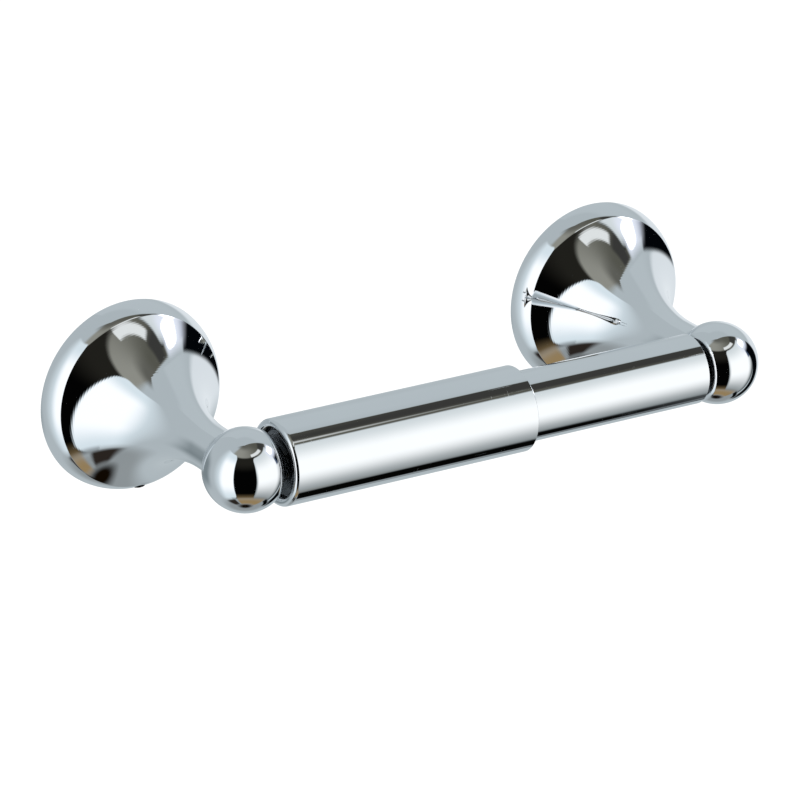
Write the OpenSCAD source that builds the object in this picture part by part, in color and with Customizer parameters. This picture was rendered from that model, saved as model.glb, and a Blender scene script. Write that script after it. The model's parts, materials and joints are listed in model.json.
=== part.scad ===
// Two-post toilet paper holder with a sprung telescoping roller.
// X runs along the roller, +Y points into the wall and Z is up.
// The origin lies in the wall plane, midway between the posts, at the height of the roller.

/* [Posts] */
// Distance between the two post axes
post_spacing = 154; // [140:1:220]
// Distance from the wall to the roller's axis
projection = 65.4; // [54:0.2:95]
// Diameter of the flange at the wall
flange_d = 55.8; // [46:0.2:68]
// Radius of the rolled rim's arc, seen in section
rim_arc_r = 14; // [10:0.5:20]
// Height of the rim above the wall
rim_h = 6.8; // [5.4:0.1:8.4]
// How far the crease between rim and flare lies inside the flange's edge
rim_step = 2.6; // [1.6:0.1:3.4]
// Radius of the flare's arc, seen in section
flare_arc_r = 52; // [43:1:58]
// Diameter of the neck
neck_d = 13.2; // [10.6:0.1:16]
// Wall of the cast post
post_wall = 2.4; // [1.8:0.1:3]
// Solid end of the neck that the ball is screwed to
neck_end_wall = 5; // [4:0.5:6.5]

/* [Balls] */
// Diameter of the ball
ball_d = 23.6; // [19.4:0.2:30]
// Distance from the ball's centre to its flat face
flat_offset = 7.2; // [6:0.1:8.7]
// Width of the bevel round the flat face
flat_bevel = 0.7; // [0.3:0.1:1.2]
// How far the collar stands out from the neck all round
collar_step = 0.8; // [0.5:0.05:1.4]
// Height of the collar
collar_h = 1.4; // [0.8:0.1:2.5]
// Diameter of the socket in the flat face
socket_d = 7.36; // [6:0.02:9]
// Depth of the socket
socket_depth = 4.6; // [3:0.1:5.6]

/* [Roller] */
// Outside diameter of the wide tube
outer_tube_d = 24.5; // [20.4:0.1:30]
// How far the slim tube's surface lies inside the wide tube's surface
tube_step = 2.2; // [1.8:0.1:3]
// Wall of both tubes
tube_wall = 0.9; // [0.6:0.05:1.1]
// Gap between a ball's flat face and the tube end next to it
end_gap = 1.8; // [1:0.1:4]
// Where the wide tube's mouth lies along X
mouth_x = 9.6; // [0:0.2:20]
// Length of the slim tube hidden inside the wide tube
tube_overlap = 22.6; // [14:0.2:28]
// Radius of the rolled bead at the wide tube's closed end
bead_r = 1.2; // [0.8:0.1:1.4]
// How far the end caps' faces lie inside the tube ends
cap_recess = 1.6; // [0.5:0.1:2]
// Thickness of the end caps
cap_t = 5.4; // [4:0.2:9]

/* [Spring] */
// Diameter of the wire
wire_d = 1.3; // [0.8:0.1:1.4]
// Number of open turns between the closed ends
open_turns = 7; // [5:1:9]

/* [Wall bracket] */
// Width of the bracket plate
bracket_w = 26; // [21:1:30]
// Thickness of the bracket plate
bracket_t = 2.5; // [2:0.1:3]
// How far the two lugs stand out from the wall
lug_depth = 7.6; // [7:0.1:8.2]

/* [Fasteners] */
// Thread diameter of a wall screw
wall_screw_d = 4.2; // [3.4:0.1:5]
// Length of a wall screw behind the wall plane
wall_screw_length = 20; // [16:1:40]
// Length of the ball screw under its head
ball_screw_length = 12; // [10:0.5:12.5]
// Thread diameter of the set screw
set_screw_d = 4; // [3.3:0.1:4.8]

/* [Clearances] */
// Radial play between a turning or sliding pair
running_play = 0.08; // [0.03:0.01:0.1]
// Radial play between a tube and the end cap fixed in it
cap_play = 0.1; // [0.05:0.01:0.15]
// Radial play between a screw's thread and its tapped hole
thread_play = 0.05; // [0.02:0.01:0.1]
// Gap between two pieces that are clamped together
seat_gap = 0.05; // [0.02:0.01:0.1]
// Gap round the spring, and between the hooked lug and the inside of the post
free_gap = 0.35; // [0.2:0.05:0.5]

/* [Hidden] */
$fn = 96;

// How far a cut runs past the face it opens, or a boss runs into the body it stands on
over = 1;
// The hollow of the post starts this much behind the wall plane
wall_nudge = 0.01;

// Posts
flange_r = flange_d / 2;
crease_r = flange_r - rim_step;
neck_r = neck_d / 2;
rim_arc_x = flange_r - rim_arc_r;
rim_arc_y = rim_h - sqrt(pow(rim_arc_r, 2) - pow(crease_r - rim_arc_x, 2));
flare_arc_x = neck_r + flare_arc_r;
flare_arc_y = rim_h + sqrt(pow(flare_arc_r, 2) - pow(flare_arc_x - crease_r, 2));
bore_r = neck_r - post_wall;

// Balls
ball_r = ball_d / 2;
collar_r = neck_r + collar_step;
collar_back = sqrt(pow(ball_r, 2) - pow(collar_r, 2)) + collar_h;
flat_r = sqrt(pow(ball_r, 2) - pow(flat_offset, 2));
spigot_r = 3.1;
spigot_h = 1.2;
neck_end = projection - collar_back - seat_gap;
bore_end = neck_end - neck_end_wall;

// Roller, with lengths measured along X from the middle of the holder
outer_r = outer_tube_d / 2;
outer_bore_r = outer_r - tube_wall;
inner_r = outer_r - tube_step;
inner_bore_r = inner_r - tube_wall;
flat_x = post_spacing / 2 - flat_offset;
tube_end_x = flat_x - end_gap;
inner_tube_start = mouth_x - tube_overlap;
mouth_lip = 1;
edge_bevel = 0.25;
tip_r = socket_d / 2 - running_play;
tip_end_gap = 0.4;
tip_end_x = flat_x + socket_depth - tip_end_gap;
tip_bevel = 0.8;
outer_cap_face = tube_end_x - cap_recess;
outer_cap_front = tube_end_x - 2 * bead_r - seat_gap;
outer_cap_back = outer_cap_face - cap_t;
cap_groove = 0.8;
cap_boss_r = outer_r - 2 * bead_r - cap_groove;
cap_step_r = 5.6;
cap_step_h = 0.7;
inner_cap_face = tube_end_x - cap_recess / 2;
bush_length = 6;
bush_spigot = 6;
bush_floor = 2;
bush_wall = 1.8;
bush_start = inner_tube_start - seat_gap - bush_length;
pocket_end = inner_tube_start + bush_spigot - bush_floor;
pocket_r = inner_bore_r - running_play - bush_wall;
spring_boss_r = pocket_r - 2 * free_gap - wire_d;
spring_boss_h = 4;

// Spring
wire_r = wire_d / 2;
coil_r = pocket_r - free_gap - wire_r;
coil_gap = 0.05;
closed_turns = 1.5;
wire_sides = 6;
steps_per_turn = 16;
spring_start = -outer_cap_back + seat_gap + wire_r;
spring_end = pocket_end - seat_gap - wire_r;
closed_pitch = wire_d + coil_gap;
open_pitch = (spring_end - spring_start - 2 * closed_turns * closed_pitch) / open_turns;
spring_turns = open_turns + 2 * closed_turns;

// Wall screws
wall_head_ratio = 0.88;
wall_head_r = wall_screw_d * wall_head_ratio;
wall_head_h = 2.2;
wall_thread_depth = 0.35;
wall_neck_r = wall_screw_d / 2 - wall_thread_depth;
wall_thread_start = 0.1;
wall_tip_length = 4;

// Bracket, whose hooked lug reaches as far out as the hollow of the post lets it
lug_w = 10;
lug_t = 2.8;
hook_h = 1.4;
hook_t = 1.6;
lug_z = sqrt(pow(hollow_r(lug_depth) - 2 * free_gap, 2) - pow(lug_w / 2, 2)) - hook_h;
plate_edge = 1;
bracket_r = lug_z + plate_edge;
head_room = 1;
screw_z = lug_z - lug_t - wall_head_r - head_room;
screw_hole_play = 0.5;

// Features inside the post that meet the bracket
ledge_play = 0.12;
plate_gap = 0.5;
hook_gap = 0.2;
ledge_near = bracket_t + plate_gap;
ledge_far = lug_depth - hook_t - hook_gap;
set_screw_shift = 0.45;
set_screw_y = (bracket_t + lug_depth) / 2 - set_screw_shift;
set_boss_w = 9;
set_boss_near = 1.5;
set_boss_far = 8;
set_boss_gap = 1.5;
set_boss_z = lug_z + set_boss_gap;

// Ball screw, whose head passes down the bore of the neck
head_play = 0.55;
pan_head_ratio = 1.75;
pan_head_r = bore_r - head_play;
pan_head_h = 2.4;
ball_screw_r = pan_head_r / pan_head_ratio;
ball_hole_play = 0.2;
washer_t = 1;
washer_slot = 0.9;
washer_slot_lean = 20;
washer_play = 0.1;
ball_head_y = bore_end - washer_t - 2 * seat_gap;
hole_bottom_gap = 0.4;
ball_hole_depth = ball_screw_length - (neck_end - ball_head_y) + hole_bottom_gap;

// Set screw, and the driver recesses
set_screw_start = lug_z + seat_gap;
set_screw_inset = 0.5;
set_screw_end = rim_r(set_screw_y) - set_screw_inset;
hex_af = 2;
hex_depth = 2.2;
recess_w = 0.9;
recess_depth = 1.3;
recess_reach = 0.55;
dome_ratio = 1.6;
head_overlap = 0.1;

// Outside radius of the rim at a distance from the wall
function rim_r(y) = rim_arc_x + sqrt(pow(rim_arc_r, 2) - pow(y - rim_arc_y, 2));

// Radius of the post's hollow behind the flare at a distance from the wall
function hollow_r(y) = flare_arc_x - sqrt(pow(flare_arc_r + post_wall, 2) - pow(flare_arc_y - y, 2));

// Places a piece that is modelled at the wall, with its roller side toward +X
module at_post(side) {
    translate([side * post_spacing / 2, 0, 0])
        mirror([side > 0 ? 1 : 0, 0, 0])
            children();
}

// Turns a shape that stands up along Z so that it points away from the wall
module off_wall() {
    rotate([90, 0, 0])
        children();
}

// Turns a shape that stands up along Z so that it lies along +X on the roller's axis
module along_roller() {
    translate([0, -projection, 0])
        rotate([0, 90, 0])
            children();
}

// A ring or a disc between two radii and two heights
module ring(inner, outer, from, to) {
    translate([0, 0, from])
        difference() {
            cylinder(h = to - from, r = outer);
            if (inner > 0)
                translate([0, 0, -over])
                    cylinder(h = to - from + 2 * over, r = inner);
        }
}

// Half of the post's section: the rim's arc, then the flare's arc, then the neck.
// With a wall it is the section of the hollow inside, whose two arcs cross below the crease.
module post_section(wall, end) {
    difference() {
        union() {
            intersection() {
                union() {
                    translate([rim_arc_x, rim_arc_y])
                        circle(r = rim_arc_r - wall);
                    square([rim_arc_x, rim_h]);
                }
                square([flange_r, rim_h]);
            }
            translate([0, rim_h])
                square([crease_r, end - rim_h]);
        }
        translate([flare_arc_x, flare_arc_y])
            circle(r = flare_arc_r + wall);
        translate([neck_r - wall, flare_arc_y])
            square([crease_r, end]);
    }
}

module post_body() {
    off_wall()
        rotate_extrude()
            post_section(0, neck_end);
}

module post_hollow() {
    off_wall()
        translate([0, 0, -wall_nudge])
            rotate_extrude()
                post_section(post_wall, bore_end);
}

// The ledge that hangs on the bracket's upper lug, and the boss that holds the set screw
module post_inner_features() {
    intersection() {
        post_body();
        union() {
            translate([-lug_w / 2, -ledge_far, lug_z + ledge_play])
                cube([lug_w, ledge_far - ledge_near, flange_r]);
            translate([-set_boss_w / 2, -set_boss_far, -set_boss_z - flange_r])
                cube([set_boss_w, set_boss_far - set_boss_near, flange_r]);
        }
    }
}

module post() {
    color("gainsboro")
        difference() {
            union() {
                difference() {
                    post_body();
                    post_hollow();
                }
                post_inner_features();
            }
            off_wall() {
                translate([0, 0, bore_end - over])
                    cylinder(h = neck_end_wall + 2 * over, r = ball_screw_r + ball_hole_play);
                translate([0, 0, neck_end - spigot_h - seat_gap])
                    cylinder(h = spigot_h + over, r = spigot_r + thread_play);
            }
            translate([0, -set_screw_y, -flange_r - over])
                cylinder(h = flange_r, r = set_screw_d / 2 + thread_play);
        }
}

// Turned about X, so that the bevelled flat face looks toward the roller
module ball_turning() {
    blank_r = ball_r + over;
    bevel_slope = 0.5;
    rotate([0, 90, 0])
        rotate_extrude()
            intersection() {
                circle(r = ball_r);
                polygon([
                    [0, -blank_r],
                    [blank_r, -blank_r],
                    [blank_r, flat_offset - bevel_slope * (blank_r - flat_r + flat_bevel)],
                    [flat_r - flat_bevel, flat_offset],
                    [0, flat_offset]
                ]);
            }
}

module ball() {
    color("gainsboro")
        translate([0, -projection, 0])
            difference() {
                union() {
                    difference() {
                        ball_turning();
                        translate([-ball_r, collar_back, -ball_r])
                            cube(ball_d);
                    }
                    translate([0, collar_back, 0])
                        off_wall() {
                            cylinder(h = collar_h + over, r = collar_r);
                            translate([0, 0, -spigot_h])
                                cylinder(h = spigot_h + over, r = spigot_r);
                        }
                }
                translate([0, collar_back + spigot_h + over, 0])
                    off_wall()
                        cylinder(h = ball_hole_depth + spigot_h + over, r = ball_screw_r + thread_play);
                translate([flat_offset - socket_depth, 0, 0])
                    rotate([0, 90, 0])
                        cylinder(h = socket_depth + over, r = socket_d / 2);
            }
}

// Cross-shaped driver recess, cut down from the top of a head at z = 0
module cross_recess(reach) {
    for (turn = [0, 90])
        rotate([0, 0, turn])
            translate([-reach, -recess_w / 2, -recess_depth])
                cube([2 * reach, recess_w, recess_depth + over]);
}

// Domed pan head standing on z = 0
module pan_head(radius, height) {
    dome_r = radius * dome_ratio;
    difference() {
        intersection() {
            cylinder(h = height, r = radius);
            translate([0, 0, height - dome_r])
                sphere(r = dome_r);
        }
        translate([0, 0, height])
            cross_recess(radius * recess_reach);
    }
}

module ball_screw() {
    color("silver")
        translate([0, -ball_head_y, 0])
            rotate([-90, 0, 0]) {
                pan_head(pan_head_r, pan_head_h);
                translate([0, 0, -ball_screw_length])
                    cylinder(h = ball_screw_length + head_overlap, r = ball_screw_r);
            }
}

module lock_washer() {
    color("silver")
        translate([0, -bore_end + seat_gap, 0])
            rotate([-90, 0, 0])
                difference() {
                    ring(ball_screw_r + washer_play, pan_head_r, 0, washer_t);
                    rotate([0, washer_slot_lean, 0])
                        translate([0, -washer_slot / 2, -washer_t])
                            cube([pan_head_r * 2, washer_slot, washer_t * 4]);
                }
}

// Plate with two lugs: the upper one is hooked and carries the post, the lower one takes the set screw
module wall_bracket() {
    color("darkgray")
        difference() {
            union() {
                intersection() {
                    off_wall()
                        cylinder(h = bracket_t, r = bracket_r);
                    translate([-bracket_w / 2, -bracket_t, -bracket_r])
                        cube([bracket_w, bracket_t, 2 * bracket_r]);
                }
                for (end = [-1, 1])
                    translate([-lug_w / 2, -lug_depth, end > 0 ? lug_z - lug_t : -lug_z])
                        cube([lug_w, lug_depth - bracket_t / 2, lug_t]);
                translate([-lug_w / 2, -lug_depth, lug_z - lug_t / 2])
                    cube([lug_w, hook_t, hook_h + lug_t / 2]);
            }
            for (end = [-1, 1])
                translate([0, over, end * screw_z])
                    off_wall()
                        cylinder(h = bracket_t + 2 * over, r = wall_neck_r + screw_hole_play);
        }
}

// Grub screw with a hexagonal socket, driven up through the underside of the rim
module set_screw() {
    color("dimgray")
        translate([0, -set_screw_y, -set_screw_end])
            difference() {
                cylinder(h = set_screw_end - set_screw_start, r = set_screw_d / 2);
                translate([0, 0, -over])
                    cylinder(h = hex_depth + over, r = hex_af / sqrt(3), $fn = 6);
            }
}

// Pan head in front of the bracket, a slim neck through it, and the thread and point in the wall
module wall_screw(end) {
    thread_r = wall_screw_d / 2;
    color("silver")
        translate([0, 0, end * screw_z]) {
            translate([0, -bracket_t - seat_gap, 0])
                off_wall()
                    pan_head(wall_head_r, wall_head_h);
            rotate([-90, 0, 0])
                rotate_extrude()
                    polygon([
                        [0, -bracket_t - seat_gap - head_overlap],
                        [wall_neck_r, -bracket_t - seat_gap - head_overlap],
                        [wall_neck_r, wall_thread_start],
                        [thread_r, wall_thread_start],
                        [thread_r, wall_screw_length - wall_tip_length],
                        [0, wall_screw_length]
                    ]);
        }
}

// Wide tube: rolled bead at the closed end, and a mouth turned in to guide the slim tube
module outer_tube() {
    color("gainsboro")
        along_roller()
            rotate_extrude() {
                translate([outer_r - bead_r, -tube_end_x + bead_r])
                    circle(r = bead_r);
                translate([outer_bore_r, -tube_end_x + bead_r])
                    square([tube_wall, tube_end_x - bead_r + mouth_x - mouth_lip]);
                polygon([
                    [inner_r + running_play, mouth_x - mouth_lip],
                    [outer_r, mouth_x - mouth_lip],
                    [outer_r, mouth_x - edge_bevel],
                    [outer_r - edge_bevel, mouth_x],
                    [inner_r + running_play, mouth_x]
                ]);
            }
}

// Turned tip with a bevelled end, from a cap's face to inside the ball's socket
module tip(face_x) {
    ring(0, tip_r, face_x - over, tip_end_x - tip_bevel);
    translate([0, 0, tip_end_x - tip_bevel])
        cylinder(h = tip_bevel, r1 = tip_r, r2 = tip_r - tip_bevel);
}

// Plug behind the bead, with its tip, a stepped face and a boss for the spring
module outer_end_cap() {
    color("gainsboro")
        along_roller()
            mirror([0, 0, 1]) {
                ring(0, outer_bore_r - cap_play, outer_cap_back, outer_cap_front);
                ring(0, cap_boss_r, outer_cap_front - over, outer_cap_face);
                ring(0, cap_step_r, outer_cap_face - over, outer_cap_face + cap_step_h);
                tip(outer_cap_face);
                ring(0, spring_boss_r, outer_cap_back - spring_boss_h, outer_cap_back + over);
            }
}

module inner_tube() {
    color("gainsboro")
        along_roller()
            rotate_extrude()
                polygon([
                    [inner_bore_r, inner_tube_start],
                    [inner_r, inner_tube_start],
                    [inner_r, tube_end_x - edge_bevel],
                    [inner_r - edge_bevel, tube_end_x],
                    [inner_bore_r, tube_end_x]
                ]);
}

module inner_end_cap() {
    color("gainsboro")
        along_roller() {
            ring(0, inner_bore_r - cap_play, inner_cap_face - cap_t, inner_cap_face);
            ring(0, cap_step_r, inner_cap_face - over, inner_cap_face + cap_step_h);
            tip(inner_cap_face);
        }
}

// Nylon guide: its flange slides in the wide tube, its spigot turns in the slim tube
module slide_bush() {
    color("ivory")
        along_roller()
            difference() {
                union() {
                    ring(0, outer_bore_r - running_play, bush_start, bush_start + bush_length);
                    ring(0, inner_bore_r - running_play, bush_start + over, inner_tube_start + bush_spigot);
                }
                ring(0, pocket_r, bush_start - over, pocket_end);
            }
}

// Travel along the coil after a number of turns: closed, then open, then closed
function coil_height(turn) =
    spring_start + closed_pitch * min(turn, closed_turns)
    + open_pitch * min(max(turn - closed_turns, 0), open_turns)
    + closed_pitch * max(turn - closed_turns - open_turns, 0);

function coil_point(turn, around) = [
    (coil_r + wire_r * cos(around)) * cos(360 * turn),
    (coil_r + wire_r * cos(around)) * sin(360 * turn),
    coil_height(turn) + wire_r * sin(around)
];

module spring() {
    steps = spring_turns * steps_per_turn;
    points = [
        for (step = [0:steps])
            for (side = [0:wire_sides - 1])
                coil_point(step / steps_per_turn, 360 * side / wire_sides)
    ];
    sides = [
        for (step = [0:steps - 1])
            for (side = [0:wire_sides - 1])
                let (next = (side + 1) % wire_sides, low = step * wire_sides, high = low + wire_sides)
                    [low + side, high + side, high + next, low + next]
    ];
    start_face = [for (side = [0:wire_sides - 1]) side];
    end_face = [for (side = [0:wire_sides - 1]) steps * wire_sides + wire_sides - 1 - side];
    color("lightsteelblue")
        along_roller()
            polyhedron(points = points, faces = concat(sides, [start_face, end_face]));
}

for (side = [-1, 1]) {
    name = side < 0 ? "left" : "right";
    at_post(side) post();
    at_post(side) ball();
    at_post(side) ball_screw();
    at_post(side) lock_washer();
    at_post(side) wall_bracket();
    at_post(side) set_screw();
    at_post(side) wall_screw(1);
    at_post(side) wall_screw(-1);
}
outer_tube();
outer_end_cap();
spring();
slide_bush();
inner_tube();
inner_end_cap();
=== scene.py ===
import json
import math

import bmesh
import bpy
from mathutils import Matrix, Vector


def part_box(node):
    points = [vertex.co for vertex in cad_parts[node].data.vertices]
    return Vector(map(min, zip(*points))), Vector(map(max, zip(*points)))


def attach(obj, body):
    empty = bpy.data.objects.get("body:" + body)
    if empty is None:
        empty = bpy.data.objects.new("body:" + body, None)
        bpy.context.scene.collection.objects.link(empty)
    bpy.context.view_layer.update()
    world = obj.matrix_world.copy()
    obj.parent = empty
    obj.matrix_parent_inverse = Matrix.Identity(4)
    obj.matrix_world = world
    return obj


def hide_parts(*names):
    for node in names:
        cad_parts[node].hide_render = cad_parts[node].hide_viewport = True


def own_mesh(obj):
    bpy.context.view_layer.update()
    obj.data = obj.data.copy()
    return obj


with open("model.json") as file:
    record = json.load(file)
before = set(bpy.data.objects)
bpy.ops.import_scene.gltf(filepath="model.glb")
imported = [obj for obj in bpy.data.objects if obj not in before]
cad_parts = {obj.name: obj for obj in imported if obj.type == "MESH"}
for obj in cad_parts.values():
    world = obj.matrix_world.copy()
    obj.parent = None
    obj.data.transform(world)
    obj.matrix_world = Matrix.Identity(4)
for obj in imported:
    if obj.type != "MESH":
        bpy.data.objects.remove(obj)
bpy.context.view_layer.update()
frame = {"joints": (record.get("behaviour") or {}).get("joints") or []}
mm = 0.001                                      # outlines and sizes are in millimetres, meshes in metres
weldDistance = 1e-7                             # metres
rollerAxisY = frame["joints"][0]["pos_m"][1]    # the wall is at Y 0, and the roller stands off it toward -Y
sideSigns = {"left": -1, "right": 1}
print("frame loaded")


def boxOf(node):
    low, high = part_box(node)
    return low / mm, high / mm


def inMetres(values):
    return {label: value * mm for label, value in values.items()}


def middleX(node):
    low, high = boxOf(node)
    return (low.x + high.x) / 2


def camel(name):
    first, *rest = name.split("_")
    return first + "".join(word.capitalize() for word in rest)


# Node tree helpers, used by the shapes and by the finishes

def feed(tree, socket, value):
    if isinstance(value, bpy.types.NodeSocket):
        tree.links.new(value, socket)
    elif value is not None:
        socket.default_value = value


def feedNode(tree, node, **inputs):
    for key, value in inputs.items():
        feed(tree, node.inputs[key.replace("_", " ")], value)


def addNode(tree, kind, settings=None, **inputs):
    node = tree.nodes.new(kind)
    for key, value in (settings or {}).items():
        setattr(node, key, value)
    feedNode(tree, node, **inputs)
    return node


def calc(tree, operation, first, second=None, third=None):
    node = addNode(tree, "ShaderNodeMath", {"operation": operation})
    for socket, value in zip(node.inputs, (first, second, third)):
        feed(tree, socket, value)
    return node.outputs[0]


def between(tree, value, high):
    # Keeps a value from 0 to the one given
    return calc(tree, "MINIMUM", calc(tree, "MAXIMUM", value, 0.0), high)


def ramp(tree, value, low, high, toLow=0.0, toHigh=1.0):
    node = addNode(tree, "ShaderNodeMapRange", {"interpolation_type": "SMOOTHSTEP"})
    items = {"Value": value, "From Min": low, "From Max": high, "To Min": toLow, "To Max": toHigh}
    for key, item in items.items():
        feed(tree, node.inputs[key], item)
    return node.outputs[0]


def blendColours(tree, factor, first, second):
    node = addNode(tree, "ShaderNodeMix", {"data_type": "RGBA"})
    feed(tree, node.inputs[0], factor)
    feed(tree, node.inputs[6], first)
    feed(tree, node.inputs[7], second)
    return node.outputs[2]


def shapeTree(name, sizes=(), counts=()):
    # Every shape tree takes a source, its sizes, its whole numbers and a finish, and gives a shape
    tree = bpy.data.node_groups.new(name, "GeometryNodeTree")
    sockets = [("Geometry", "INPUT", "Geometry")] + [(label, "INPUT", "Float") for label in sizes]
    sockets += [(label, "INPUT", "Int") for label in counts]
    sockets += [("Finish", "INPUT", "Material"), ("Geometry", "OUTPUT", "Geometry")]
    for label, way, kind in sockets:
        tree.interface.new_socket(label, in_out=way, socket_type="NodeSocket" + kind)
    return tree, tree.nodes.new("NodeGroupInput").outputs


def closeTree(tree, geometry, finish):
    # Every shape tree ends the same way
    real = addNode(tree, "GeometryNodeRealizeInstances", Geometry=geometry)
    painted = addNode(tree, "GeometryNodeSetMaterial", Geometry=real.outputs[0], Material=finish)
    tree.links.new(painted.outputs[0], tree.nodes.new("NodeGroupOutput").inputs[0])
    return tree


def rolledGrid(tree, rows, sides):
    # A grid to roll into a turning, each point's row, and how far round it is from 0 to 1
    across = calc(tree, "ADD", sides, 1)
    grid = addNode(tree, "GeometryNodeMeshGrid", Vertices_X=rows, Vertices_Y=across)
    index = tree.nodes.new("GeometryNodeInputIndex").outputs[0]
    row = calc(tree, "FLOOR", calc(tree, "DIVIDE", calc(tree, "ADD", index, 0.5), across))
    step = calc(tree, "SUBTRACT", index, calc(tree, "MULTIPLY", row, across))
    return grid.outputs[0], row, calc(tree, "DIVIDE", step, sides)


def roundAxis(tree, geometry, radius, turn, height):
    angle = calc(tree, "MULTIPLY", turn, 2 * math.pi)
    x = calc(tree, "MULTIPLY", calc(tree, "COSINE", angle), radius)
    y = calc(tree, "MULTIPLY", calc(tree, "SINE", angle), radius)
    place = addNode(tree, "ShaderNodeCombineXYZ", X=x, Y=y, Z=height)
    return addNode(tree, "GeometryNodeSetPosition", Geometry=geometry, Position=place.outputs[0]).outputs[0]


def closeTurning(tree, geometry, finish):
    welded = addNode(tree, "GeometryNodeMergeByDistance", Geometry=geometry, Distance=weldDistance)
    return closeTree(tree, welded.outputs[0], finish)


def applyModifier(piece, modifier):
    depsgraph = bpy.context.evaluated_depsgraph_get()
    mesh = bpy.data.meshes.new_from_object(piece.evaluated_get(depsgraph), depsgraph=depsgraph)
    piece.modifiers.remove(modifier)
    piece.data = mesh
    mesh.name = piece.name
    return mesh


def newPiece(name, mesh):
    piece = bpy.data.objects.new(name, mesh)
    bpy.context.scene.collection.objects.link(piece)
    return piece


def paintWhole(mesh, finish):
    mesh.materials.clear()
    mesh.materials.append(finish)
    mesh.polygons.foreach_set("material_index", [0] * len(mesh.polygons))


def grown(name, tree, values, source=None, place=None):
    # Runs a shape tree, and leaves its result as a plain mesh in its place
    piece = newPiece(name, source or bpy.data.meshes.new(name))
    modifier = piece.modifiers.new("Shape", "NODES")
    modifier.node_group = tree
    for item in tree.interface.items_tree:
        if item.in_out == "INPUT" and item.name in values:
            modifier[item.identifier] = values[item.name]
    mesh = applyModifier(piece, modifier)
    if place:
        mesh.transform(place)
    faceOutwards(mesh)
    paintWhole(mesh, values["Finish"])
    return piece


def faceOutwards(mesh, sharpAngle=35):
    work = bmesh.new()
    work.from_mesh(mesh)
    bmesh.ops.remove_doubles(work, verts=work.verts, dist=weldDistance)
    bmesh.ops.recalc_face_normals(work, faces=work.faces)
    work.to_mesh(mesh)
    work.free()
    mesh.shade_smooth()
    mesh.set_sharp_from_angle(angle=math.radians(sharpAngle))


def carve(piece, tool, operation="DIFFERENCE"):
    modifier = piece.modifiers.new("Carve", "BOOLEAN")
    modifier.object, modifier.operation, modifier.solver = tool, operation, "EXACT"
    finish = piece.data.materials[0] if piece.data.materials else None
    mesh = applyModifier(piece, modifier)
    bpy.data.objects.remove(tool)
    faceOutwards(mesh)
    if finish:
        paintWhole(mesh, finish)
    return piece


def prism(name, corners, axis, fromHeight, toHeight):
    # Straight-sided solid: corners in millimetres in the plane across the axis, heights along it
    orders = {"X": lambda a, b, h: (h, a, b),
              "Y": lambda a, b, h: (a, h, b),
              "Z": lambda a, b, h: (a, b, h)}
    order = orders[axis]
    count = len(corners)
    points = [Vector(order(a, b, h)) * mm for h in (fromHeight, toHeight) for a, b in corners]
    faces = [list(range(count)), list(range(2 * count - 1, count - 1, -1))]
    faces += [[i, (i + 1) % count, count + (i + 1) % count, count + i] for i in range(count)]
    mesh = bpy.data.meshes.new(name)
    mesh.from_pydata(points, [], faces)
    faceOutwards(mesh)
    return newPiece(name, mesh)


def box(name, low, high):
    corners = [(low[0], low[1]), (high[0], low[1]), (high[0], high[1]), (low[0], high[1])]
    return prism(name, corners, "Z", low[2], high[2])


# Outlines: each is made of runs of points (radius, height) that meet at corners

def arcRun(centreRadius, centreHeight, radius, fromAngle, toAngle, steps):
    angles = [math.radians(fromAngle + (toAngle - fromAngle) * i / steps) for i in range(steps + 1)]
    return [(centreRadius + radius * math.cos(a), centreHeight + radius * math.sin(a)) for a in angles]


def lineRuns(*points):
    return [list(pair) for pair in zip(points, points[1:])]


def trimStart(run, length):
    left = length
    for i, (a, b) in enumerate(zip(run, run[1:])):
        span = math.dist(a, b)
        if span > left:
            t = left / span
            return [(a[0] + (b[0] - a[0]) * t, a[1] + (b[1] - a[1]) * t)] + run[i + 1:]
        left -= span
    return run[-1:]


def bridge(a, corner, b, steps=6):
    # Curve that rounds a corner between two trimmed runs
    result = []
    for i in range(1, steps):
        t = i / steps
        weights = ((1 - t) ** 2, 2 * t * (1 - t), t ** 2)
        result.append(tuple(sum(w * p[k] for w, p in zip(weights, (a, corner, b))) for k in (0, 1)))
    return result


def outlineOf(runs, softness, closed=False, supportGap=0.06, longEdge=0.48, shortEdge=1e-5):
    # softness gives the rounding where each run meets the next, in turn
    # A point near both ends of a long edge keeps it flat, and edges that are too short are dropped
    count = len(runs)
    softness = list(softness) + [0] * (count - len(softness))
    points = []
    for i, run in enumerate(runs):
        before = softness[i - 1] if closed or i else 0
        after = softness[i] if closed or i < count - 1 else 0
        kept = trimStart(run, before)
        kept = trimStart(kept[::-1], after)[::-1]
        points += kept
        if after:
            following = trimStart(runs[(i + 1) % count], after)
            points += bridge(kept[-1], run[-1], following[0])
    if closed:
        points.append(points[0])
    supported = [points[0]]
    for a, b in zip(points, points[1:]):
        span = math.dist(a, b)
        if span > longEdge:
            for t in (supportGap / span, 1 - supportGap / span):
                supported.append(tuple(a[k] + (b[k] - a[k]) * t for k in (0, 1)))
        if span > shortEdge:
            supported.append(b)
    return supported


def buildLatheTree():
    # Turns an outline into a closed solid: a grid with one row of points for each point of the outline
    tree, given = shapeTree("latheTurning", counts=["Sides"])
    outline = given["Geometry"]
    size = addNode(tree, "GeometryNodeAttributeDomainSize", Geometry=outline)
    grid, row, turn = rolledGrid(tree, size.outputs["Point Count"], given["Sides"])
    position = tree.nodes.new("GeometryNodeInputPosition").outputs[0]
    sample = addNode(tree, "GeometryNodeSampleIndex", {"data_type": "FLOAT_VECTOR"},
                     Geometry=outline, Value=position, Index=row)
    parts = addNode(tree, "ShaderNodeSeparateXYZ", Vector=sample.outputs[0]).outputs
    return closeTurning(tree, roundAxis(tree, grid, parts[0], turn, parts[2]), given["Finish"])


latheTree = buildLatheTree()


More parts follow.
